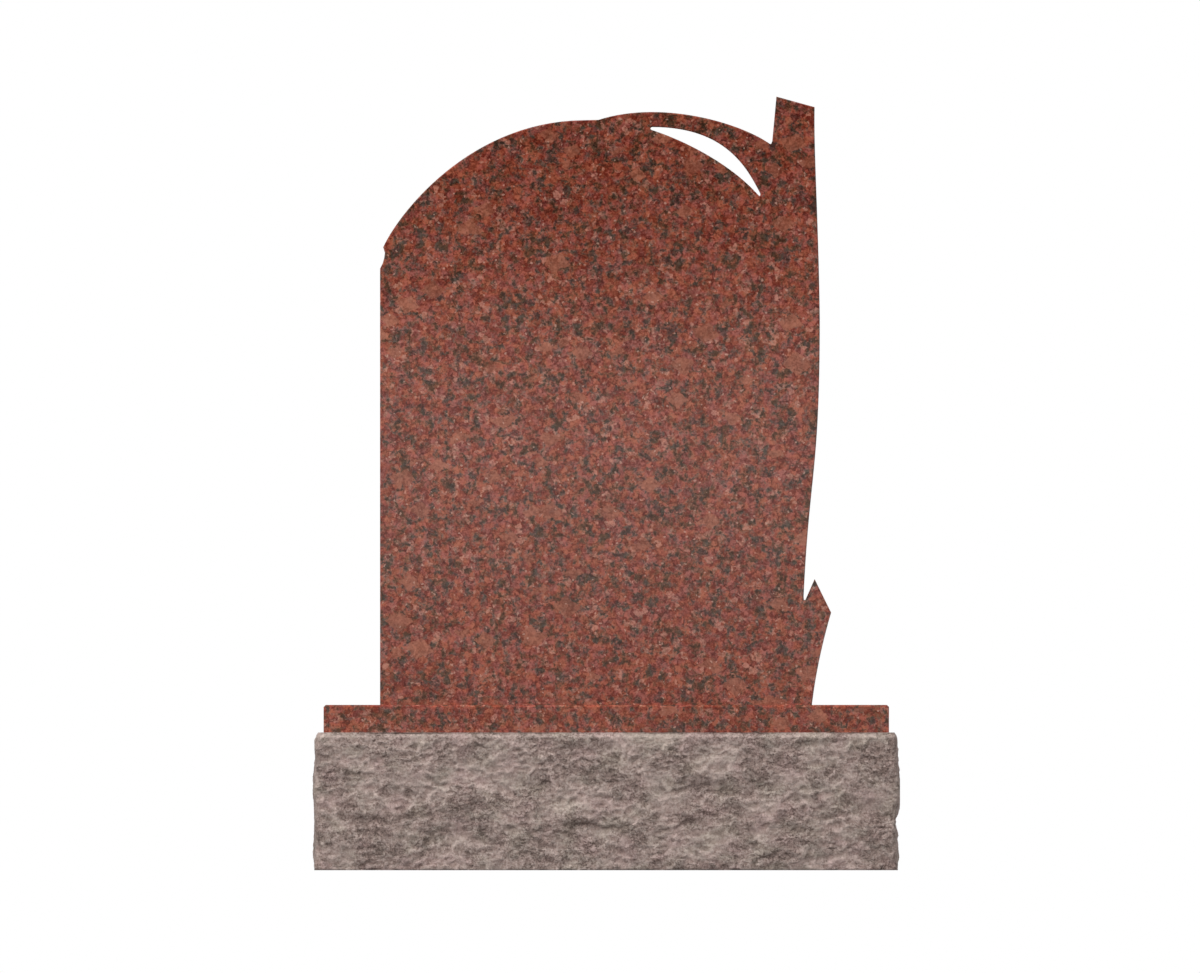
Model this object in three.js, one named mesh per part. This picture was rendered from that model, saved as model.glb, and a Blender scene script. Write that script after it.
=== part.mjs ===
// A granite headstone: an upright slab with a shaped outline, a thin plinth slab and a rock-faced base.
// Millimetres, +Z up. X runs across the front, the front faces -Y, and the origin is on the ground
// under the middle of the base.
import * as THREE from "three";

// Driving dimensions
const BASE_HEIGHT = 200;
const BASE_WIDTH = 853; // over the fullest part of the rock faces
const BASE_DEPTH = 252;
const PLINTH_HEIGHT = 40;
const PLINTH_WIDTH = 821;
const PLINTH_DEPTH = BASE_DEPTH - (BASE_WIDTH - PLINTH_WIDTH); // the same margin on all four sides
const PLINTH_CHAMFER = 3;
const PLINTH_CORNER = 2;
const SLAB_THICKNESS = 100;
const SLAB_ARRIS = 1.5;

// Outline of the slab in its own frame: x from the middle of the base, y up from the slab's foot.
// A curve is listed as its control points and its end.
const SLAB_OUTLINE = {
  leftFoot: [-328.5, 0],
  leftShoulder: [-328.5, 633.5],
  shoulderNick: [[-324.5, 641.5], [-322.5, 649], [-321.5, 656.5], [-324, 664.5]],
  arch: [[-303, 711.5], [-199.5, 848], [-32.5, 849]],
  saddle: [-11.5, 849.5],
  lobe: [[79.5, 879], [193.5, 845.5], [237, 815]],
  crotch: [[239.5, 813], [241, 819]],
  trunkTop: [[247, 883.3], [302.5, 868]],
  trunkUpperSide: [[301, 805.5], [308.5, 695.5], [310, 560]],
  trunkLowerSide: [[310, 335.5], [295.5, 344], [286.5, 158]],
  leafNotch: [[286.9, 152.3], [289, 152.3]],
  leafTip: [302.5, 182.8],
  leafShoulder: [326.5, 134],
  rightFoot: [[306.5, 66], [298.5, 0]],
};

// Crescent window between the arch and the lobe, right through the slab
const CRESCENT = {
  leftTip: [65.5, 835],
  lowerEdge: [[118.5, 818], [183, 783], [220.5, 740.5]],
  rightTip: [[224.5, 737.5], [223.5, 742.5]],
  upperEdge: [[202, 785.5], [169, 839], [66.5, 839]],
  leftTipRound: [[62.5, 837.5], [65.5, 835]],
};
const CURVE_STEPS = 30;

// Rock faces of the base: how far they stand back from their fullest part, by height
const FACE_RECESS = 3.3;
const UPPER_SWELL = { height: 115, reach: 34, rise: 3.3 };
const LOWER_SWELL = { height: 28, reach: 14, rise: 2.4 };
const TOP_PITCH = { reach: 7, depth: 4 }; // the pitched edge under the sawn top
const BASE_CORNER_RADIUS = 12;
const CORNER_STEPS = 3;
const FACE_STEP = 14;
const FACE_ROWS = 16;
const ROW_CROWDING = 1.5; // the rows lie closer together towards the pitched edge

// Scars left by the chisel: shallow scoops that run along the faces, smallest and largest
const SCAR_COUNT = 150;
const SCAR_HALF_LENGTH = [28, 95];
const SCAR_HALF_HEIGHT = [9, 30];
const SCAR_DEPTH = [1.5, 6.5];
const SCAR_EDGE_KEEP = 0.3; // the share of a scar's depth that is left at the top edge
const SCAR_EDGE_REACH = 16;
const SCAR_SEED = 20;

const STONE = {
  polished: new THREE.MeshStandardMaterial({ color: 0x7f4a3c, roughness: 0.12, metalness: 0 }),
  rockFaced: new THREE.MeshStandardMaterial({ color: 0x8d7b74, roughness: 0.92, metalness: 0 }),
};

function slabShape() {
  const { arch, lobe, crotch, trunkUpperSide, trunkLowerSide, rightFoot } = SLAB_OUTLINE;
  const shape = new THREE.Shape();
  shape.moveTo(...SLAB_OUTLINE.leftFoot);
  shape.lineTo(...SLAB_OUTLINE.leftShoulder);
  SLAB_OUTLINE.shoulderNick.forEach((point) => shape.lineTo(...point));
  shape.bezierCurveTo(...arch.flat());
  shape.lineTo(...SLAB_OUTLINE.saddle);
  shape.bezierCurveTo(...lobe.flat());
  shape.quadraticCurveTo(...crotch.flat());
  SLAB_OUTLINE.trunkTop.forEach((point) => shape.lineTo(...point));
  shape.bezierCurveTo(...trunkUpperSide.flat());
  shape.bezierCurveTo(...trunkLowerSide.flat());
  SLAB_OUTLINE.leafNotch.forEach((point) => shape.lineTo(...point));
  shape.lineTo(...SLAB_OUTLINE.leafTip);
  shape.lineTo(...SLAB_OUTLINE.leafShoulder);
  shape.quadraticCurveTo(...rightFoot.flat());
  shape.closePath();

  // The window runs the other way round from the outline
  const crescent = new THREE.Path();
  crescent.moveTo(...CRESCENT.leftTip);
  crescent.bezierCurveTo(...CRESCENT.lowerEdge.flat());
  crescent.quadraticCurveTo(...CRESCENT.rightTip.flat());
  crescent.bezierCurveTo(...CRESCENT.upperEdge.flat());
  crescent.quadraticCurveTo(...CRESCENT.leftTipRound.flat());
  shape.holes.push(crescent);
  return shape;
}

// The slab stands on its foot: its outline is drawn flat, given its thickness and turned upright
function steleSlab() {
  const depth = SLAB_THICKNESS - 2 * SLAB_ARRIS;
  const geometry = new THREE.ExtrudeGeometry(slabShape(), {
    depth,
    curveSegments: CURVE_STEPS,
    bevelEnabled: true,
    bevelSegments: 1,
    bevelThickness: SLAB_ARRIS,
    bevelSize: SLAB_ARRIS,
    bevelOffset: -SLAB_ARRIS,
  });
  geometry.translate(0, 0, -depth / 2);
  const slab = new THREE.Mesh(geometry, STONE.polished);
  slab.rotation.x = Math.PI / 2;
  slab.position.z = BASE_HEIGHT + PLINTH_HEIGHT;
  return slab;
}

// Points round a rectangle with rounded corners, counter-clockwise from its right side.
// Each has its outward normal and its distance along the way round.
function roundedRectangle(width, depth, radius, cornerSteps, step) {
  const cornerX = width / 2 - radius;
  const cornerY = depth / 2 - radius;
  const corners = [[cornerX, cornerY], [-cornerX, cornerY], [-cornerX, -cornerY], [cornerX, -cornerY]];
  const quarterArc = (radius * Math.PI) / 2;
  const points = [];
  let travelled = 0;
  corners.forEach(([x, y], quarter) => {
    for (let i = 0; i <= cornerSteps; i += 1) {
      const angle = ((quarter + i / cornerSteps) * Math.PI) / 2;
      const normal = [Math.cos(angle), Math.sin(angle)];
      const along = travelled + (quarterArc * i) / cornerSteps;
      points.push({ x: x + radius * normal[0], y: y + radius * normal[1], normal, along });
    }
    travelled += quarterArc;
    const [nextX, nextY] = corners[(quarter + 1) % corners.length];
    const run = Math.hypot(nextX - x, nextY - y);
    const pieces = Math.max(1, Math.round(run / step));
    const { x: startX, y: startY, normal } = points[points.length - 1];
    for (let i = 1; i < pieces; i += 1) {
      const share = i / pieces;
      const px = startX + (nextX - x) * share;
      const py = startY + (nextY - y) * share;
      points.push({ x: px, y: py, normal, along: travelled + run * share });
    }
    travelled += run;
  });
  return { points, length: travelled };
}

// A closed solid through rings of points, from the bottom ring to the top ring, all with the same count
function stackedSolid(rings) {
  const count = rings[0].length;
  const indices = [];
  for (let row = 0; row + 1 < rings.length; row += 1) {
    for (let i = 0; i < count; i += 1) {
      const a = row * count + i;
      const b = row * count + ((i + 1) % count);
      indices.push(a, b, b + count, a, b + count, a + count);
    }
  }
  const capTriangles = (ring) =>
    THREE.ShapeUtils.triangulateShape(ring.map(([x, y]) => new THREE.Vector2(x, y)), []);
  const topStart = (rings.length - 1) * count;
  capTriangles(rings[0]).forEach(([a, b, c]) => indices.push(c, b, a));
  capTriangles(rings[rings.length - 1]).forEach(([a, b, c]) => {
    indices.push(topStart + a, topStart + b, topStart + c);
  });
  const geometry = new THREE.BufferGeometry();
  geometry.setAttribute("position", new THREE.Float32BufferAttribute(rings.flat(2), 3));
  geometry.setIndex(indices);
  geometry.computeVertexNormals();
  return geometry;
}

function plinthSlab() {
  const ring = (inset, z) => {
    const width = PLINTH_WIDTH - 2 * inset;
    const depth = PLINTH_DEPTH - 2 * inset;
    const { points } = roundedRectangle(width, depth, PLINTH_CORNER, 1, PLINTH_WIDTH);
    return points.map(({ x, y }) => [x, y, z]);
  };
  const rings = [ring(0, 0), ring(0, PLINTH_HEIGHT - PLINTH_CHAMFER), ring(PLINTH_CHAMFER, PLINTH_HEIGHT)];
  const plinth = new THREE.Mesh(stackedSolid(rings), STONE.polished);
  plinth.position.z = BASE_HEIGHT;
  return plinth;
}

// Numbers from 0 to 1, the same ones every time
function randomNumbers(seed) {
  let state = seed;
  return () => {
    state = (state * 1664525 + 1013904223) % 2 ** 32;
    return state / 2 ** 32;
  };
}

function chiselScars(wayRound) {
  const random = randomNumbers(SCAR_SEED);
  const between = ([least, most]) => least + (most - least) * random();
  return Array.from({ length: SCAR_COUNT }, () => ({
    along: wayRound * random(),
    height: BASE_HEIGHT * random(),
    halfLength: between(SCAR_HALF_LENGTH),
    halfHeight: between(SCAR_HALF_HEIGHT),
    depth: between(SCAR_DEPTH),
  }));
}

// The deepest scoop at a point of the faces
function scarHollow(scars, wayRound, along, z) {
  let hollow = 0;
  scars.forEach((scar) => {
    const apart = Math.abs(along - scar.along);
    const across = Math.min(apart, wayRound - apart) / scar.halfLength;
    const up = (z - scar.height) / scar.halfHeight;
    const spread = across * across + up * up;
    hollow = Math.max(hollow, scar.depth * (1 - spread));
  });
  return hollow;
}

function swell({ height, reach, rise }, z) {
  return rise * Math.exp(-(((z - height) / reach) ** 2));
}

function faceRecess(z) {
  const pitch = TOP_PITCH.depth * Math.exp(-(BASE_HEIGHT - z) / TOP_PITCH.reach);
  return FACE_RECESS - swell(UPPER_SWELL, z) - swell(LOWER_SWELL, z) + pitch;
}

function rockFacedBase() {
  const outline = roundedRectangle(BASE_WIDTH, BASE_DEPTH, BASE_CORNER_RADIUS, CORNER_STEPS, FACE_STEP);
  const scars = chiselScars(outline.length);
  const rings = [];
  for (let row = 0; row <= FACE_ROWS; row += 1) {
    const z = BASE_HEIGHT * (1 - (1 - row / FACE_ROWS) ** ROW_CROWDING);
    const belowEdge = 1 - Math.exp(-(BASE_HEIGHT - z) / SCAR_EDGE_REACH);
    const scarShare = SCAR_EDGE_KEEP + (1 - SCAR_EDGE_KEEP) * belowEdge;
    const ring = outline.points.map(({ x, y, normal, along }) => {
      const recess = faceRecess(z) + scarShare * scarHollow(scars, outline.length, along, z);
      return [x - recess * normal[0], y - recess * normal[1], z];
    });
    rings.push(ring);
  }
  return new THREE.Mesh(stackedSolid(rings), STONE.rockFaced);
}

const headstone = new THREE.Group();
const pieces = {
  stele_slab: steleSlab(),
  plinth_slab: plinthSlab(),
  rock_faced_base: rockFacedBase(),
};
for (const [name, mesh] of Object.entries(pieces)) {
  mesh.name = name;
  headstone.add(mesh);
}

export default headstone;
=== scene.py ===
import math

import bmesh
import bpy
import numpy as np
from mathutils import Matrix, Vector, noise
from mathutils.bvhtree import BVHTree


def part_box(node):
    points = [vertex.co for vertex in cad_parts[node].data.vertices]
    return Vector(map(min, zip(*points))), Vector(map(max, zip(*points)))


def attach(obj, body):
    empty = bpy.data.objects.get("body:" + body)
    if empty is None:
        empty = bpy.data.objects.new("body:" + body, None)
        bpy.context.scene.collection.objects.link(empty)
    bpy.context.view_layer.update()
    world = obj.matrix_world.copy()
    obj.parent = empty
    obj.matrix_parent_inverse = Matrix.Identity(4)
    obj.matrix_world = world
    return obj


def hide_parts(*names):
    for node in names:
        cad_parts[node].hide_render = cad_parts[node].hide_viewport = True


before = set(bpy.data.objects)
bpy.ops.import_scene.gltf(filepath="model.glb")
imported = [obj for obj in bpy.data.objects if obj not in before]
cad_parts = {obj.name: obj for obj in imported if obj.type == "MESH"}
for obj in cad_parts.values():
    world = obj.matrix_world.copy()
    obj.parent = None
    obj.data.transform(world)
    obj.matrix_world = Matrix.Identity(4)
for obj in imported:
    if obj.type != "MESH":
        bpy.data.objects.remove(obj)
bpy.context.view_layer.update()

# A granite headstone: a polished slab and a polished plinth over a rock-faced base.
# Metres, +Z up, and the front faces -Y.
BODY = "root"
MM = 0.001
WHITE = (1, 1, 1, 1)

# The polished slab and plinth
SHARP_ANGLE = math.radians(28)
WELD_DISTANCE = 0.001 * MM
FOOT_REACH = 0.01 * MM

# The mesh of the base's rock faces
FACE_STEP = 2.45 * MM
FACE_ROWS = 82
ROW_CROWDING = 1.25  # above 1, the rows lie closer together towards the top
CORNER_RADIUS = 12 * MM
CORNER_STEPS = 8
SAWN_BORDER = 11.5 * MM
PROBE_REACH = 30 * MM
PROBE_MARGIN = 0.2 * MM
CAD_SMOOTHING = 3

# How the break runs out at the base's edges
BREAK_START = 0.6 * MM
DEEPEST_RIM = 10.5 * MM
EDGE_FADE = 9 * MM
EDGE_KEEP = 0.35
TOP_BEVEL = 6.5 * MM
TOP_BEVEL_SLOPE = 0.6
END_BEVEL_CUT = 0.7
END_CALM = 0.5

# The break itself: sizes are across and up
RELIEF_SEED = Vector((3.7, 11.3, 5.9))
RELIEF_FRACTAL = (0.9, 2.1, 2)  # roughness, step between octaves, octaves
LEDGE_SIZE = (78 * MM, 40 * MM)
LEDGE_DEPTH = 3.8 * MM
FLAKE_SIZE = (19 * MM, 10 * MM)
FLAKE_DEPTH = 1.3 * MM
FLAKE_TILT = 4.0 * MM
FLAKE_HASH = 37
SCOOP_LEVEL = 0.8
SCOOP_GAIN = 2
SCOOP_MIDDLE = 0.5
CRUMB_SIZE = (11 * MM, 6 * MM)
CRUMB_DEPTH = 1.0 * MM
WANDER_SIZE = 18 * MM
WANDER = 0.5
WANDER_SEED = 4  # without a seed, noise_vector gives other values on every run
LIP_SHIFT = 2.6

# The plainest ledges on the front, from left to right: start and end (x, z) and depth, in millimetres
LIPS = [
    ((-380, 144), (-338, 146), 2.6),
    ((-372, 84), (-310, 74), 2.2),
    ((-352, 62), (-290, 52), 1.8),
    ((-200, 188), (-156, 166), 2.6),
    ((-160, 126), (-128, 112), 2.6),
    ((-128, 76), (-100, 60), 3.2),
    ((-66, 70), (38, 66), 6.5),
    ((66, 62), (124, 72), 4.2),
    ((96, 176), (140, 168), 2.2),
    ((200, 118), (250, 104), 2.4),
    ((256, 64), (320, 58), 2.2),
    ((300, 160), (352, 148), 2.4),
]
FRONT_NORMAL = -0.9  # faces whose normal has a lower y belong to the front
LIP_WAVE = 7 * MM
LIP_WAVE_SIZE = 24 * MM
LIP_WAVE_SEED = 0.5
LIP_EDGE = 2.5 * MM
LIP_FADE = 14 * MM
LIP_TAPER = 0.6

# The attribute that tells the stone how hollow its surface is, for the painted shade in its hollows: 0.5
# is level
HOLLOW_PASSES = 5
HOLLOW_DEPTH = 2.4 * MM
LEVEL = 0.5
SAWN_HOLLOW = 0.35

# In the materials lengths are millimetres. Noise is size, detail and roughness.
# A span is the low and high value that is read, then what is given for each, or else 0 and 1.
# A palette goes from one hue to another in screen colours, 0 to 255.
# Each pattern starts at a place of its own, so that no two line up.
STARTS = {
    "cloud": (7.0, 29.0, 3.0),
    "small_grain": (91.0, 17.0, 53.0),
    "red_hue": (23.0, 61.0, 9.0),
    "cluster": (41.0, 5.0, 77.0),
    "dark": (57.0, 33.0, 7.0),
    "dark_hue": (71.0, 3.0, 29.0),
    "seam_width": (3.0, 47.0, 19.0),
    "speck": (5.0, 9.0, 83.0),
    "grit": (5.0, 19.0, 23.0),
    "patch": (11.0, 2.0, 47.0),
    "facet": (61.0, 29.0, 13.0),
    "stroke": (17.0, 71.0, 37.0),
    "rock_hue": (83.0, 7.0, 41.0),
}
TO_MIDDLE = (-0.5, -0.5, -0.5)
WOBBLES = ((9.0, 7.0), (2.6, 2.6))  # size and reach

# Red granite: how pale each grain is
FINE_NOISE = (2.7, 3.0, 0.65)
FINE_TONE = (0.25, 0.75, -0.62, 0.62)
CLOUD_NOISE = (30.0, 2.0)
CLOUD_TONE = (0.3, 0.7, -0.1, 0.1)
TONE_POWER = 1.15
HUE_DETAIL = 1.0
HUE_SPAN = (0.33, 0.67)

# Red granite: the feldspar, from orange to mauve
GRAIN = 9.2
GRAIN_TONE = 0.75
SMALL_GRAIN = 4.8
SMALL_SHARE = 0.34
RED_HUE_SIZE = 15.0
FELDSPAR_DEEP = [
    (0.00, (110, 45, 26)),
    (0.30, (111, 42, 27)),
    (0.50, (108, 40, 27)),
    (0.70, (106, 41, 30)),
    (1.00, (103, 42, 34)),
]
FELDSPAR_PALE = [
    (0.00, (174, 102, 78)),
    (0.30, (174, 98, 75)),
    (0.50, (173, 95, 77)),
    (0.70, (171, 97, 83)),
    (1.00, (166, 99, 89)),
]
PALE_CRYSTAL = (196, 142, 123)
PALE_SHARE = 0.1
PALE_STRENGTH = (0.3, 0.7, 0.1, 0.75)

# Red granite: the big crystals
BIG_SCALE = (1 / 38.0, 1 / 27.0, 1 / 27.0)
BIG_TURNS = ((0.3, 0.5, 0.2), (0.3, -0.8, 0.2))
BIG_SHARE = 0.12
BIG_REACH = (0.2, 0.42)
BIG_STRENGTH = 0.78
BIG_TONE = 0.5
BIG_OWN_TONE = 0.6
BIG_DEEP = (118, 63, 46)
BIG_PALE = (179, 116, 93)

# Red granite: the dark minerals
DARK_GRAIN = 4.4
DARK_TONE = 0.7
DARK_HUE_SIZE = 13.0
DARK_DEEP = [
    (0.00, (84, 54, 32)),
    (0.35, (75, 54, 36)),
    (0.65, (71, 59, 48)),
    (1.00, (82, 54, 46)),
]
DARK_PALE = [
    (0.00, (136, 101, 75)),
    (0.35, (128, 106, 87)),
    (0.65, (122, 118, 108)),
    (1.00, (134, 103, 98)),
]
DARK_SHADE = (0.51, 0.45, 0.42, 1)
MOST_DARK = 0.95
SOFT_DARK = (0.46, 0.63)
CRISP_DARK = (0.56, 0.595)
FLAKE_NOISE = (10.5, 4.0, 0.66)
CLUSTER_NOISE = (26.0, 2.0)
CLUSTER_PULL = (0.3, 0.7, -0.05, 0.05)
SEAM_NOISE = (12.0, 2.0)
SEAM_WIDTH = (0.42, 0.7, -0.02, 0.14)
SEAM_EDGE = (-0.02, 0.01, 1.0, 0.0)
SEAM_STRENGTH = 0.85

# Red granite: tiny bright specks
SPECK = (206, 164, 146)
SPECK_SIZE = 3.6
SPECK_SHARE = 0.02
SPECK_REACH = 0.45
SPECK_STRENGTH = 0.5

# Red granite: changes with height, and a painted red highlight along the joint of the slab and the
# plinth
TONE_HEIGHT = 1200.0
TONE_BY_HEIGHT = [
    (200, 1.0), (700, 0.99), (800, 0.98),
    (880, 0.96), (960, 0.92), (1060, 0.9),
]
JOINT_HEIGHT = 238.8
JOINT_FADE = (1.6, 5.5, 1.0, 0.0)
JOINT_PAINTED_HIGHLIGHT_TINT = (1.08, 0.9, 0.84, 1)
CONTRAST_BY_HEIGHT = (760.0, 1040.0, 1.0, 1.1)

# Red granite: the polish
POLISH_ROUGHNESS = (0.1, 0.15)
POLISH_IOR = 1.54
PIT_NOISE = (1.4, 2.0)
PIT_STRENGTH = 0.02
PIT_DEPTH = 0.1 * MM

# Rock-faced granite: patterns
STREAK_SQUEEZE = (1 / 1.3, 1 / 1.3, 1.0)
DRIFT_NOISE = (160.0, 1.0)
DRIFT = (0.3, 0.7, -14.0, 14.0)
ROUGH_NOISE = (15.0, 3.0, 0.6)
GRIT_NOISE = (3.0, 4.0, 0.8)
PATCH_NOISE = (36.0, 3.0, 0.6)
CALM = (0.42, 0.6)
FACET_SIZE = 7.5
STROKE_SQUEEZE = (0.5, 0.5, 1.0)
STROKE_NOISE = (5.2, 3.0, 0.62)
STROKE_START = (0.54, 0.66)
STROKE_EDGE = 0.05
FLECK_SIZE = 3.6

# Rock-faced granite: what each pattern does to its lightness
# Painted shade: the hollow, rough, grit and stroke spans darken the low parts of the relief
HOLLOW_PAINTED_SHADE = (0.15, 0.8, 1.12, 0.72)
ROUGH_PAINTED_SHADE = (0.32, 0.52, 0.9, 1.02)
GRIT_PAINTED_SHADE = (0.4, 0.52, 0.44, 1.07)
FACET_SHADE = (0.0, 1.0, 0.9, 1.08)
STROKE_PAINTED_SHADE = (0.0, 1.0, 1.03, 0.66)
FLECK_SHADE = (0.0, 1.0, 0.8, 1.19)
PATCH_SHADE = (0.36, 0.62, 0.88, 1.06)
# A painted highlight along the top edge of the rock faces
TOP_EDGE_PAINTED_HIGHLIGHT = (192.0, 194.5, 1.0, 1.14)
CALM_STRENGTH = 0.5
CALM_SHADE = 0.98

# Rock-faced granite: colour, and the warm tint of the painted shade
ROCK_HUE_NOISE = (30.0, 2.0)
ROCK_HUE_SPAN = (0.34, 0.66)
ROCK_COLOURS = [
    (0.0, (187, 171, 160)),
    (0.3, (189, 171, 162)),
    (0.5, (190, 170, 162)),
    (0.7, (190, 169, 161)),
    (1.0, (191, 167, 161)),
]
PAINTED_SHADE_TINT = (1.0, 0.89, 0.84, 1)
PAINTED_SHADE_TINT_SPAN = (0.4, 1.0)
BAND_HEIGHT = 200.0
ROCK_BANDS = [
    (14, 0.95), (37, 0.88), (62, 0.9), (86, 1.0),
    (111, 1.0), (136, 0.88), (160, 0.94), (190, 0.94),
]

# Rock-faced granite: the relief that is too fine for the mesh
ROUGH_RISE = 2.5
FACET_RISE = 1.1
STROKE_RISE = -0.8
GRIT_RISE = 2.4
FLECK_RISE = 0.6
CALM_RISE = 0.6
ROCK_ROUGHNESS = (0.93, 0.83)
ROCK_IOR = 1.5

# The camera: the photograph's pixel in metres, and the pixel where the middle of the base's foot lies
PIXEL = 1.452 * MM
FRAME_PIXELS = (1200, 973)
ORIGIN_PIXEL = (606.3, 870.2)
CAMERA_DISTANCE = 4.0
VIEW_DEPTH = 100

# The light
SKY_GLOW = 0.8
GROUND_GLOW = 0.25
HORIZON = 0.1
ROOM_SHEEN = 0.3
KEY_PLACE = (-1.8, -3.2, 4.2)
KEY_TARGET = (0, 0, 0.5)
KEY_SIZE = 2.4
KEY_POWER = 190
CARD_DISTANCE = 3.0
CARD_HALF_WIDTH = 4.0
CARD_HEIGHT = 1.6
CARD_GLOW = [
    (0.0, 0.22), (0.2, 0.3), (0.33, 0.46), (0.43, 0.6), (0.53, 0.75), (0.63, 0.72),
    (0.7, 0.62), (0.77, 0.4), (0.86, 0.15), (0.95, 0.03), (1.6, 0.02),
]
FLOOR_HALF_SIZE = 30.0
FLOOR_NOISE = 0.4
FLOOR_TONES = [(0.0, 0.8), (1.0, 0.84)]


def linear(red, green, blue):
    """A colour given as 0 to 255 on a screen, as the linear values that a shader takes."""
    def one(value):
        value /= 255
        return value / 12.92 if value <= 0.04045 else ((value + 0.055) / 1.055) ** 2.4
    return (one(red), one(green), one(blue), 1.0)


class Graph:
    """Adds nodes to a tree. An input is a plain value or another node's output."""

    def __init__(self, tree):
        self.tree = tree
        tree.nodes.clear()

    def add(self, kind, inputs=None, **settings):
        node = self.tree.nodes.new(kind)
        for name, value in settings.items():
            setattr(node, name, value)
        for name, value in (inputs or {}).items():
            if isinstance(value, bpy.types.NodeSocket):
                self.tree.links.new(value, node.inputs[name])
            else:
                node.inputs[name].default_value = value
        return node

    def finish(self, shader, kind="ShaderNodeOutputMaterial"):
        self.add(kind, {"Surface": shader.outputs[0]})

    def math(self, operation, first, second=0.0, clamp=False):
        node = self.add("ShaderNodeMath", {0: first, 1: second}, operation=operation, use_clamp=clamp)
        return node.outputs[0]

    def product(self, first, *factors):
        for factor in factors:
            first = self.math("MULTIPLY", first, factor)
        return first

    def vector_math(self, operation, first, second):
        slot = 3 if operation == "SCALE" else 1
        node = self.add("ShaderNodeVectorMath", {0: first, slot: second}, operation=operation)
        return node.outputs["Value" if operation == "DOT_PRODUCT" else "Vector"]

    def start(self, vector, pattern):
        """The space in which the named pattern is read."""
        return self.vector_math("ADD", vector, STARTS[pattern])

    def place(self):
        return self.add("ShaderNodeTexCoord").outputs["Object"]

    def height(self, vector):
        return self.add("ShaderNodeSeparateXYZ", {0: vector}).outputs["Z"]

    def span(self, value, low, high, to_low=0.0, to_high=1.0):
        """Stretches low to high over to_low to to_high, and holds it steady beyond them."""
        node = self.add("ShaderNodeMapRange", {"Value": value, "From Min": low, "From Max": high,
                                               "To Min": to_low, "To Max": to_high})
        return node.outputs[0]

    def between(self, factor, first, second):
        return self.add("ShaderNodeMix", {0: factor, 2: first, 3: second}).outputs[0]

    def mix(self, factor, first, second, how="MIX"):
        node = self.add("ShaderNodeMix", {0: factor, 6: first, 7: second},
                        data_type="RGBA", blend_type=how)
        return node.outputs[2]

    def tinted(self, colour, tint):
        return self.mix(1.0, colour, tint, "MULTIPLY")

    def grey(self, value):
        return self.add("ShaderNodeCombineColor", {0: value, 1: value, 2: value}).outputs[0]

    def ramp(self, value, stops, interpolation):
        node = self.add("ShaderNodeValToRGB", {0: value})
        elements = node.color_ramp.elements
        node.color_ramp.interpolation = interpolation
        while len(elements) < len(stops):
            elements.new(0.5)
        for element, (position, colour) in zip(elements, stops):
            element.position = position
            element.color = colour
        return node.outputs[0]

    def palette(self, value, colours):
        """The palette's colour for a value from 0 to 1."""
        return self.ramp(value, [(position, linear(*colour)) for position, colour in colours], "LINEAR")

    def graded(self, value, full, tones, interpolation):
        """A grey that follows a value from 0 to full through the tones given for some of its values."""
        stops = [(at / full, (tone, tone, tone, 1)) for at, tone in tones]
        return self.ramp(self.math("DIVIDE", value, full), stops, interpolation)

    def noise(self, vector, size, detail=2.0, roughness=0.5, output=0):
        """Noise with blobs about size across, in the vector's own unit."""
        node = self.add("ShaderNodeTexNoise", {"Vector": vector, "Scale": 1 / size, "Detail": detail,
                                               "Roughness": roughness})
        return node.outputs[output]

    def cells(self, vector, size, **settings):
        """Cells about size across, in the vector's own unit."""
        return self.add("ShaderNodeTexVoronoi", {"Vector": vector, "Scale": 1 / size}, **settings)

    def chances(self, cells):
        """Three random values from 0 to 1 for each cell."""
        return self.add("ShaderNodeSeparateColor", {0: cells.outputs["Color"]}).outputs

    def facets(self, vector, size):
        """The height of small planes, each tilted its own way, and a random shade for each."""
        cells = self.cells(vector, size)
        offset = self.vector_math("SUBTRACT", vector, cells.outputs["Position"])
        tilt = self.vector_math("ADD", cells.outputs["Color"], TO_MIDDLE)
        return self.vector_math("DOT_PRODUCT", offset, tilt), self.chances(cells)[2]


def new_material(name):
    material = bpy.data.materials.new(name)
    material.use_nodes = True
    return material, Graph(material.node_tree)


def placed(name, data):
    """A new object in the scene for a mesh, a light or a camera."""
    item = bpy.data.objects.new(name, data)
    bpy.context.scene.collection.objects.link(item)
    return item


def crystal_space(g):
    """Millimetres in the stone, and the same bent a little so that grains get ragged edges."""
    place = g.vector_math("SCALE", g.place(), 1 / MM)
    bent = place
    for size, reach in WOBBLES:
        wobble = g.vector_math("ADD", g.noise(place, size, output=1), TO_MIDDLE)
        bent = g.vector_math("ADD", bent, g.vector_math("SCALE", wobble, reach))
    return place, bent


def stone_surface(g, colour, roughness, ior, relief, strength, depth):
    bump = g.add("ShaderNodeBump", {"Height": relief, "Strength": strength, "Distance": depth})
    shader = g.add("ShaderNodeBsdfPrincipled", {"Base Color": colour, "Roughness": roughness,
                                                "Normal": bump.outputs[0], "IOR": ior})
    g.finish(shader)


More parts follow.
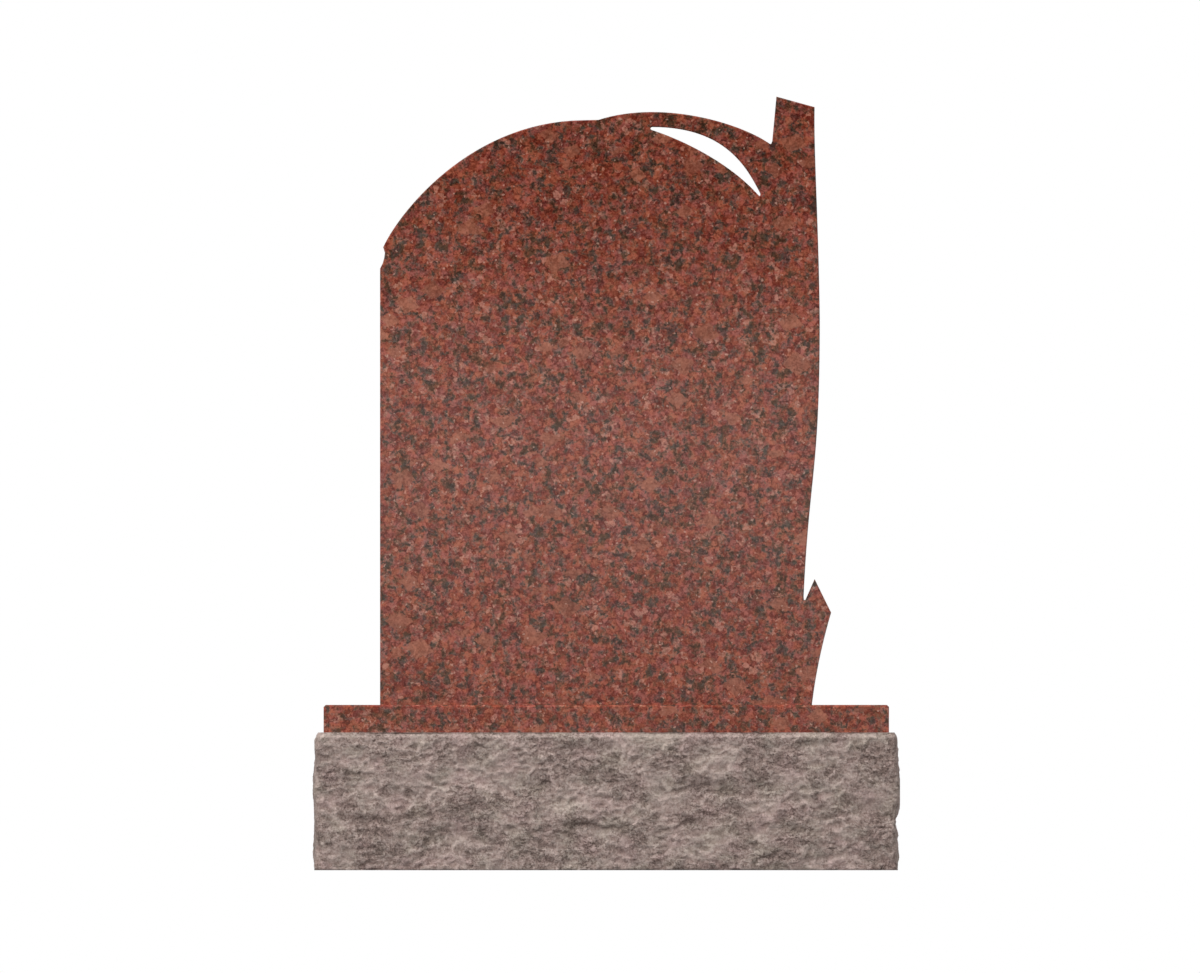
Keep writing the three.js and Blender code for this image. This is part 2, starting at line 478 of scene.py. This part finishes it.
class RedGranite:
    """The colour of the red granite, built up from its grains to the tone of the whole stone."""

    def __init__(self, g):
        self.g = g
        self.place, self.bent = crystal_space(g)
        self.fine = g.noise(self.place, *FINE_NOISE)
        self.cloud = g.noise(g.start(self.place, "cloud"), *CLOUD_NOISE)

    def tone(self, shade, share):
        """How pale the stone is, from 0 to 1: a share of it by grain and the rest by fine noise."""
        g = self.g
        tone = g.math("ADD", g.product(shade, share), g.span(self.fine, *FINE_TONE))
        tone = g.math("ADD", tone, g.span(self.cloud, *CLOUD_TONE))
        tone = g.math("ADD", tone, (1 - share) / 2, clamp=True)
        return g.math("POWER", tone, TONE_POWER)

    def hued(self, pattern, size, tone, deep, pale):
        """A colour between the deep and the pale palette, whose hue wanders on a coarser scale."""
        g = self.g
        hue = g.span(g.noise(g.start(self.place, pattern), size, HUE_DETAIL), *HUE_SPAN)
        return g.mix(tone, g.palette(hue, deep), g.palette(hue, pale))

    def feldspar(self):
        """The red ground with its pale crystals, and the shade of each grain."""
        g = self.g
        large = g.chances(g.cells(self.bent, GRAIN))
        small = g.chances(g.cells(g.start(self.bent, "small_grain"), SMALL_GRAIN))
        is_small = g.math("LESS_THAN", small[2], SMALL_SHARE)
        kind = g.between(is_small, large[0], small[0])
        shade = g.between(is_small, large[1], small[1])
        tone = self.tone(shade, GRAIN_TONE)
        colour = self.hued("red_hue", RED_HUE_SIZE, tone, FELDSPAR_DEEP, FELDSPAR_PALE)
        pale = g.product(g.math("LESS_THAN", kind, PALE_SHARE), g.span(self.fine, *PALE_STRENGTH))
        return g.mix(pale, colour, linear(*PALE_CRYSTAL)), shade

    def big_crystals(self):
        """Where the big blocky crystals lie, and the shade of each."""
        g = self.g
        where = 0.0
        shade = 0.5
        for turn in BIG_TURNS:
            space = g.add("ShaderNodeMapping", {"Vector": self.bent, "Rotation": turn,
                                                "Scale": BIG_SCALE})
            cells = g.cells(space.outputs[0], 1.0, distance="CHEBYCHEV")
            kind = g.chances(cells)
            reach = g.span(kind[2], 0.0, 1.0, *BIG_REACH)
            near = g.math("LESS_THAN", cells.outputs["Distance"], reach)
            inside = g.product(g.math("LESS_THAN", kind[0], BIG_SHARE), near)
            where = g.math("MAXIMUM", where, inside)
            shade = g.between(inside, shade, kind[1])
        return g.product(where, BIG_STRENGTH), shade

    def big_colour(self, big_shade, grain_shade):
        """The colour of the big crystals, in which the small grains still show."""
        g = self.g
        own = g.product(self.tone(big_shade, BIG_TONE), BIG_OWN_TONE)
        tone = g.math("ADD", own, g.product(grain_shade, 1 - BIG_OWN_TONE))
        return g.mix(tone, linear(*BIG_DEEP), linear(*BIG_PALE))

    def seams(self):
        """Dark mineral along the edges of the grains, wide in some places and absent in others."""
        g = self.g
        edge = g.cells(self.bent, GRAIN, feature="DISTANCE_TO_EDGE").outputs["Distance"]
        width = g.span(g.noise(g.start(self.place, "seam_width"), *SEAM_NOISE), *SEAM_WIDTH)
        return g.product(g.span(g.math("SUBTRACT", edge, width), *SEAM_EDGE), SEAM_STRENGTH)

    def with_dark(self, colour, big):
        """The colour with its soft stains and crisp dark flecks, and how dark it is at each point."""
        g = self.g
        space = g.start(self.bent, "dark")
        cluster = g.noise(g.start(self.place, "cluster"), *CLUSTER_NOISE)
        flake = g.math("ADD", g.noise(space, *FLAKE_NOISE), g.span(cluster, *CLUSTER_PULL))
        shown = g.math("SUBTRACT", MOST_DARK, big)
        tone = self.tone(g.chances(g.cells(space, DARK_GRAIN))[1], DARK_TONE)
        stain = self.hued("dark_hue", DARK_HUE_SIZE, tone, DARK_DEEP, DARK_PALE)
        colour = g.mix(g.product(g.span(flake, *SOFT_DARK), shown), colour, stain)
        dark = g.product(g.math("MAXIMUM", g.span(flake, *CRISP_DARK), self.seams()), shown)
        return g.mix(dark, colour, DARK_SHADE, "MULTIPLY"), dark

    def with_specks(self, colour):
        g = self.g
        cells = g.cells(g.start(self.bent, "speck"), SPECK_SIZE)
        chosen = g.math("LESS_THAN", g.chances(cells)[0], SPECK_SHARE)
        near = g.math("LESS_THAN", cells.outputs["Distance"], SPECK_REACH)
        return g.mix(g.product(chosen, near, SPECK_STRENGTH), colour, linear(*SPECK))

    def by_height(self, colour):
        """The colour made darker and crisper towards the top, and warmer along the joint as a painted
        highlight on its chamfers.
        """
        g = self.g
        height = g.height(self.place)
        colour = g.tinted(colour, g.graded(height, TONE_HEIGHT, TONE_BY_HEIGHT, "LINEAR"))
        from_joint = g.math("ABSOLUTE", g.math("SUBTRACT", height, JOINT_HEIGHT))
        # Painted highlight: a warm red tint on the chamfers at the joint, where light catches them
        colour = g.mix(g.span(from_joint, *JOINT_FADE), colour, g.tinted(colour, JOINT_PAINTED_HIGHLIGHT_TINT))
        contrast = g.span(height, *CONTRAST_BY_HEIGHT)
        return g.add("ShaderNodeGamma", {"Color": colour, "Gamma": contrast}).outputs[0]

    def colour(self):
        """The finished colour, and how much of it is dark mineral."""
        colour, grain_shade = self.feldspar()
        big, big_shade = self.big_crystals()
        colour = self.g.mix(big, colour, self.big_colour(big_shade, grain_shade))
        colour, dark = self.with_dark(colour, big)
        return self.by_height(self.with_specks(colour)), dark


def polished_granite():
    material, g = new_material("polished_granite")
    stone = RedGranite(g)
    colour, dark = stone.colour()
    roughness = g.span(dark, 0.0, 1.0, *POLISH_ROUGHNESS)
    pits = g.noise(stone.bent, *PIT_NOISE)
    stone_surface(g, colour, roughness, POLISH_IOR, pits, PIT_STRENGTH, PIT_DEPTH)
    return material


class RockFace:
    """The patterns of the rock-faced granite, and the colour, with its painted shade, and the relief
    that they make.
    """

    def __init__(self, g):
        self.g = g
        self.place, bent = crystal_space(g)
        drift = g.span(g.noise(self.place, *DRIFT_NOISE), *DRIFT)
        self.drift = g.add("ShaderNodeCombineXYZ", {2: drift}).outputs[0]
        self.flow = self.flowing(self.place)
        bent_flow = self.flowing(bent)
        self.rough = g.noise(self.flow, *ROUGH_NOISE)
        self.grit = g.noise(g.start(self.place, "grit"), *GRIT_NOISE)
        self.patch = g.noise(g.start(bent_flow, "patch"), *PATCH_NOISE)
        self.calm = g.span(self.patch, *CALM)
        self.facet, self.facet_shade = g.facets(g.start(bent_flow, "facet"), FACET_SIZE)
        self.stroke = self.strokes(bent_flow)
        flecks = g.chances(g.cells(bent, FLECK_SIZE))
        self.fleck = flecks[0]
        self.fleck_shade = flecks[1]

    def flowing(self, space):
        """The space in which patterns are drawn out along the face, and rise and fall with the drift."""
        squeezed = self.g.vector_math("MULTIPLY", space, STREAK_SQUEEZE)
        return self.g.vector_math("ADD", squeezed, self.drift)

    def strokes(self, space):
        """Thin strokes along the face, fewer where it is calm: grooves in the relief, darkened as
        painted shade.
        """
        g = self.g
        space = g.vector_math("MULTIPLY", space, STROKE_SQUEEZE)
        stroke = g.noise(g.start(space, "stroke"), *STROKE_NOISE)
        start = g.span(self.calm, 0.0, 1.0, *STROKE_START)
        return g.span(g.math("SUBTRACT", stroke, start), 0.0, STROKE_EDGE)

    def shade(self):
        """How light the stone is: painted shade in its hollows, low relief and strokes, a painted
        highlight on its top edge, and random tone.
        """
        g = self.g
        painted_shade_and_tone = g.product(
            # Painted shade where the rough and grit relief lies low and along the strokes; random tone
            # by facet and fleck
            g.span(self.rough, *ROUGH_PAINTED_SHADE),
            g.span(self.grit, *GRIT_PAINTED_SHADE),
            g.span(self.facet_shade, *FACET_SHADE),
            g.span(self.stroke, *STROKE_PAINTED_SHADE),
            g.span(self.fleck_shade, *FLECK_SHADE),
        )
        painted_shade_and_tone = g.between(g.product(self.calm, CALM_STRENGTH), painted_shade_and_tone, CALM_SHADE)
        # Painted shade: darker where the mesh's hollow attribute says the face lies deep
        hollow = g.add("ShaderNodeAttribute", attribute_name="hollow").outputs["Fac"]
        return g.product(
            g.span(hollow, *HOLLOW_PAINTED_SHADE),
            painted_shade_and_tone,
            g.span(self.patch, *PATCH_SHADE),
            # Painted highlight: a lighter strip along the top edge, where light from above falls
            g.span(g.height(self.place), *TOP_EDGE_PAINTED_HIGHLIGHT),
        )

    def colour(self):
        """Grey pink stone times its painted shade and tone, warmer where it is darker, in drifting bands
        of different lightness.
        """
        g = self.g
        hue = g.span(g.noise(g.start(self.flow, "rock_hue"), *ROCK_HUE_NOISE), *ROCK_HUE_SPAN)
        colour = g.palette(hue, ROCK_COLOURS)
        shade = self.shade()
        painted_shade_warmth = g.mix(g.span(shade, *PAINTED_SHADE_TINT_SPAN), PAINTED_SHADE_TINT, WHITE)
        drifted = g.height(g.vector_math("ADD", self.place, self.drift))
        band = g.graded(drifted, BAND_HEIGHT, ROCK_BANDS, "EASE")
        for tint in (g.grey(shade), painted_shade_warmth, band):
            colour = g.tinted(colour, tint)
        return colour

    def relief(self):
        """The height of the finest relief in millimetres, lower where the face is calm."""
        g = self.g
        height = g.product(self.rough, ROUGH_RISE)
        for pattern, rise in (
            (self.facet, FACET_RISE),
            (self.stroke, STROKE_RISE),
            (self.grit, GRIT_RISE),
            (self.fleck, FLECK_RISE),
        ):
            height = g.math("ADD", height, g.product(pattern, rise))
        return g.product(height, g.span(self.calm, 0.0, 1.0, 1.0, CALM_RISE))


def rock_faced_granite():
    material, g = new_material("rock_faced_granite")
    stone = RockFace(g)
    roughness = g.span(stone.fleck_shade, 0.0, 1.0, *ROCK_ROUGHNESS)
    stone_surface(g, stone.colour(), roughness, ROCK_IOR, stone.relief(), 1.0, MM)
    return material


def outline_of_base():
    """Points and outward normals round the base at its fullest, counter-clockwise."""
    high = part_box("rock_faced_base")[1]
    x, y = high.x - CORNER_RADIUS, high.y - CORNER_RADIUS
    corners = [(x, y), (-x, y), (-x, -y), (x, -y)]
    points, normals = [], []
    for quarter, (x, y) in enumerate(corners):
        for i in range(CORNER_STEPS + 1):
            angle = (quarter + i / CORNER_STEPS) * math.pi / 2
            normal = (math.cos(angle), math.sin(angle))
            points.append((x + CORNER_RADIUS * normal[0], y + CORNER_RADIUS * normal[1]))
            normals.append(normal)
        next_x, next_y = corners[(quarter + 1) % 4]
        start_x, start_y = points[-1]
        pieces = round(math.hypot(next_x - x, next_y - y) / FACE_STEP)
        for i in range(1, pieces):
            share = i / pieces
            points.append((start_x + (next_x - x) * share, start_y + (next_y - y) * share))
            normals.append(normals[-1])
    return np.array(points), np.array(normals)


def blurred(grid, passes):
    """The grid softened. Its rows close on themselves, and its first and last rows are ends."""
    for _ in range(passes):
        grid = (np.roll(grid, 1, 1) + 2 * grid + np.roll(grid, -1, 1)) / 4
        padded = np.vstack([grid[:1], grid, grid[-1:]])
        grid = (padded[:-2] + 2 * grid + padded[2:]) / 4
    return grid


def relief_spot(x, y, height, size):
    """Where a relief pattern of this size is read, in the pattern's own space."""
    across, up = size
    return Vector((x / across, y / across, height / up)) + RELIEF_SEED


def flake_at(x, y, height):
    """How far a point lies from the middle of its flake, and how far along the flake's own tilt."""
    wander = noise.noise_vector(Vector((x, y, height)) / WANDER_SIZE) * WANDER
    spot = relief_spot(x, y, height, FLAKE_SIZE) + wander
    distances, middles = noise.voronoi(spot, distance_metric="DISTANCE")
    tilt = noise.cell_vector(middles[0] * FLAKE_HASH) + Vector(TO_MIDDLE)
    return distances[0], (spot - middles[0]).dot(tilt)


def fracture(x, y, z):
    """How deep the break is at a point, from ledges, flakes and crumbs, each lip over its hollow."""
    ledge = noise.fractal(relief_spot(x, y, z, LEDGE_SIZE), *RELIEF_FRACTAL)
    height = z + ledge * LIP_SHIFT * LEDGE_DEPTH
    scoop, lean = flake_at(x, y, height)
    flake = (SCOOP_LEVEL - SCOOP_GAIN * scoop) * FLAKE_DEPTH + lean * FLAKE_TILT
    height += (SCOOP_MIDDLE - scoop) * LIP_SHIFT * FLAKE_DEPTH
    crumb = noise.fractal(relief_spot(x, y, height, CRUMB_SIZE), *RELIEF_FRACTAL)
    return ledge * LEDGE_DEPTH + flake + crumb * CRUMB_DEPTH


def lip_depth(x, z):
    """The step back under each of the plainest ledges on the front, shallow towards its ends."""
    depth = 0.0
    for (x1, z1), (x2, z2), step in LIPS:
        along = (x / MM - x1) / (x2 - x1)
        if not 0 < along < 1:
            continue
        wave = noise.noise(Vector((x / LIP_WAVE_SIZE, z1, LIP_WAVE_SEED))) * LIP_WAVE
        below = (z1 + (z2 - z1) * along) * MM + wave - z
        if below < 0:
            continue
        fade = min(below / LIP_EDGE, 1.0) * math.exp(-below / LIP_FADE)
        depth += step * MM * fade * math.sin(math.pi * along) ** LIP_TAPER
    return depth


def recess_of_solid(outline, normals, heights):
    """How far in from the outline the CAD solid's faces lie, one row for each height."""
    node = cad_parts["rock_faced_base"]
    solid = BVHTree.FromObject(node, bpy.context.evaluated_depsgraph_get())
    recess = np.zeros((len(heights), len(outline)))
    for row, z in enumerate(heights):
        probe_z = min(max(z, heights[0] + PROBE_MARGIN), heights[-1] - PROBE_MARGIN)
        for column, ((x, y), (nx, ny)) in enumerate(zip(outline, normals)):
            start = Vector((x + nx * PROBE_REACH, y + ny * PROBE_REACH, probe_z))
            distance = solid.ray_cast(start, Vector((-nx, -ny, 0)))[3]
            recess[row, column] = distance - PROBE_REACH
    return recess


def depth_of_break(outline, normals, heights):
    """How deep the break cuts into those faces: less on the two ends, and with its lips on the front."""
    noise.seed_set(WANDER_SEED)
    depth = np.zeros((len(heights), len(outline)))
    for row, z in enumerate(heights):
        for column, ((x, y), (nx, ny)) in enumerate(zip(outline, normals)):
            depth[row, column] = fracture(x, y, z) * (1 - END_CALM * abs(nx))
            if ny < FRONT_NORMAL:
                depth[row, column] += lip_depth(x, z)
    return depth


def recess_of_face(outline, normals, heights):
    """How far in from the outline the finished faces lie, with the bevel along their top edge."""
    from_top = heights[-1] - heights
    solid = blurred(recess_of_solid(outline, normals, heights), CAD_SMOOTHING)
    keep = EDGE_KEEP + (1 - EDGE_KEEP) * (1 - np.exp(-from_top / EDGE_FADE))
    bevel = np.maximum(TOP_BEVEL - from_top, 0.0) * TOP_BEVEL_SLOPE
    bevel = bevel[:, None] * (1 - END_BEVEL_CUT * np.abs(normals[None, :, 0]))
    broken = depth_of_break(outline, normals, heights) * keep[:, None]
    recess = np.maximum(solid + broken + BREAK_START, 0.0) + bevel
    recess[-1] = np.minimum(recess[-1], DEEPEST_RIM)
    return recess


def faces_of_rings(rings, count):
    """Quads between rings of count points each, and a lid over the last ring and under the first."""
    faces = []
    for ring in range(rings - 1):
        for i in range(count):
            a, b = ring * count + i, ring * count + (i + 1) % count
            faces.append((a, b, b + count, a + count))
    last = (rings - 1) * count
    faces.append(tuple(range(last, last + count)))
    faces.append(tuple(reversed(range(count))))
    return faces


def rock_faced_base(material):
    """The broken faces as rings of points one over another, then the sawn top inside their rim."""
    low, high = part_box("rock_faced_base")
    outline, normals = outline_of_base()
    count = len(outline)
    rows = np.arange(FACE_ROWS + 1) / FACE_ROWS
    heights = low.z + (high.z - low.z) * (1 - (1 - rows) ** ROW_CROWDING)
    recess = recess_of_face(outline, normals, heights)
    around = outline[None] - normals[None] * recess[..., None]
    points = np.dstack([around, np.repeat(heights[:, None], count, 1)])
    inner = outline - normals * SAWN_BORDER
    rim = np.column_stack([inner, np.full(count, high.z)])
    vertices = np.vstack([points.reshape(-1, 3), rim])
    faces = faces_of_rings(len(heights) + 1, count)

    mesh = bpy.data.meshes.new("rock_faced_base_stone")
    mesh.from_pydata(vertices.tolist(), [], faces)
    broken = FACE_ROWS * count
    mesh.polygons.foreach_set("use_smooth", [i < broken for i in range(len(faces))])
    # How hollow each point lies against its neighbours, for the rock material's painted shade in the
    # hollows
    hollow = (recess - blurred(recess, HOLLOW_PASSES)) / HOLLOW_DEPTH + LEVEL
    hollow = np.clip(np.concatenate([hollow.reshape(-1), np.full(count, SAWN_HOLLOW)]), 0, 1)
    mesh.attributes.new("hollow", "FLOAT", "POINT").data.foreach_set("value", hollow)
    mesh.materials.append(material)
    piece = placed("rock_faced_base_stone", mesh)
    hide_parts("rock_faced_base")
    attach(piece, BODY)


def polished_piece(node_name, material):
    """The solid with its curved edges shaded smooth and its foot left square on the stone below."""
    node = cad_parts[node_name]
    low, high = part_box(node_name)
    shape = bmesh.new()
    shape.from_mesh(node.data)
    shape.transform(node.matrix_world)
    bmesh.ops.remove_doubles(shape, verts=shape.verts, dist=WELD_DISTANCE)
    for vertex in shape.verts:
        if vertex.co.z < low.z + FOOT_REACH:
            vertex.co.y = math.copysign(high.y, vertex.co.y)
    for face in shape.faces:
        face.smooth = True
    for edge in shape.edges:
        edge.smooth = len(edge.link_faces) == 2 and edge.calc_face_angle() < SHARP_ANGLE
    name = node_name + "_polished"
    mesh = bpy.data.meshes.new(name)
    shape.to_mesh(mesh)
    shape.free()
    mesh.materials.append(material)
    piece = placed(name, mesh)
    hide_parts(node_name)
    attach(piece, BODY)


def sky():
    """An even sky over darker ground. The polish sees a dim room in it, and the camera plain white."""
    world = bpy.data.worlds.new("studio")
    bpy.context.scene.world = world
    world.use_nodes = True
    g = Graph(world.node_tree)
    rise = g.height(g.add("ShaderNodeTexCoord").outputs["Generated"])
    strength = g.span(rise, -HORIZON, HORIZON, GROUND_GLOW, SKY_GLOW)
    ray = g.add("ShaderNodeLightPath").outputs
    strength = g.between(ray["Is Glossy Ray"], strength, ROOM_SHEEN)
    strength = g.between(ray["Is Camera Ray"], strength, 1.0)
    glow = g.add("ShaderNodeBackground", {"Color": WHITE, "Strength": strength})
    g.finish(glow, "ShaderNodeOutputWorld")


def key_light():
    light = bpy.data.lights.new("key", "AREA")
    light.shape = "RECTANGLE"
    light.size = KEY_SIZE
    light.size_y = KEY_SIZE
    light.energy = KEY_POWER
    lamp = placed("key", light)
    lamp.location = KEY_PLACE
    lamp.rotation_euler = (Vector(KEY_TARGET) - Vector(KEY_PLACE)).to_track_quat("-Z", "Y").to_euler()
    lamp.visible_camera = False


def plain_sheet(name, corners):
    mesh = bpy.data.meshes.new(name)
    mesh.from_pydata(corners, [], [(0, 1, 2, 3)])
    sheet = placed(name, mesh)
    material, g = new_material(name)
    mesh.materials.append(material)
    return sheet, g


def sheen_card():
    """A softly graded card behind the camera, which shows only as the haze on the polished front."""
    half, y, top = CARD_HALF_WIDTH, -CARD_DISTANCE, CARD_HEIGHT
    corners = [(half, y, 0), (-half, y, 0), (-half, y, top), (half, y, top)]
    card, g = plain_sheet("sheen_card", corners)
    glow = g.graded(g.height(g.place()), CARD_HEIGHT, CARD_GLOW, "EASE")
    g.finish(g.add("ShaderNodeEmission", {"Color": glow}))
    card.visible_camera = False
    card.visible_diffuse = False
    card.visible_shadow = False
    card.visible_transmission = False


def floor():
    """A plain pale floor that throws no soft light back on to the stone."""
    size = FLOOR_HALF_SIZE
    corners = [(-size, -size, 0), (size, -size, 0), (size, size, 0), (-size, size, 0)]
    sheet, g = plain_sheet("floor", corners)
    tone = g.graded(g.noise(g.place(), FLOOR_NOISE), 1.0, FLOOR_TONES, "LINEAR")
    g.finish(g.add("ShaderNodeBsdfDiffuse", {"Color": tone}))
    sheet.visible_diffuse = False


def camera():
    """Straight at the front, without perspective, as the photograph shows it."""
    lens = bpy.data.cameras.new("camera")
    lens.type = "ORTHO"
    lens.ortho_scale = FRAME_PIXELS[0] * PIXEL
    lens.clip_end = VIEW_DEPTH
    eye = placed("camera", lens)
    middle_x = (FRAME_PIXELS[0] / 2 - ORIGIN_PIXEL[0]) * PIXEL
    middle_z = (ORIGIN_PIXEL[1] - FRAME_PIXELS[1] / 2) * PIXEL
    eye.location = (middle_x, -CAMERA_DISTANCE, middle_z)
    eye.rotation_euler = (math.pi / 2, 0, 0)
    bpy.context.scene.camera = eye


bpy.context.scene.view_settings.view_transform = "Standard"
camera()
sky()
key_light()
sheen_card()
floor()
polished = polished_granite()
polished_piece("stele_slab", polished)
polished_piece("plinth_slab", polished)
rock_faced_base(rock_faced_granite())
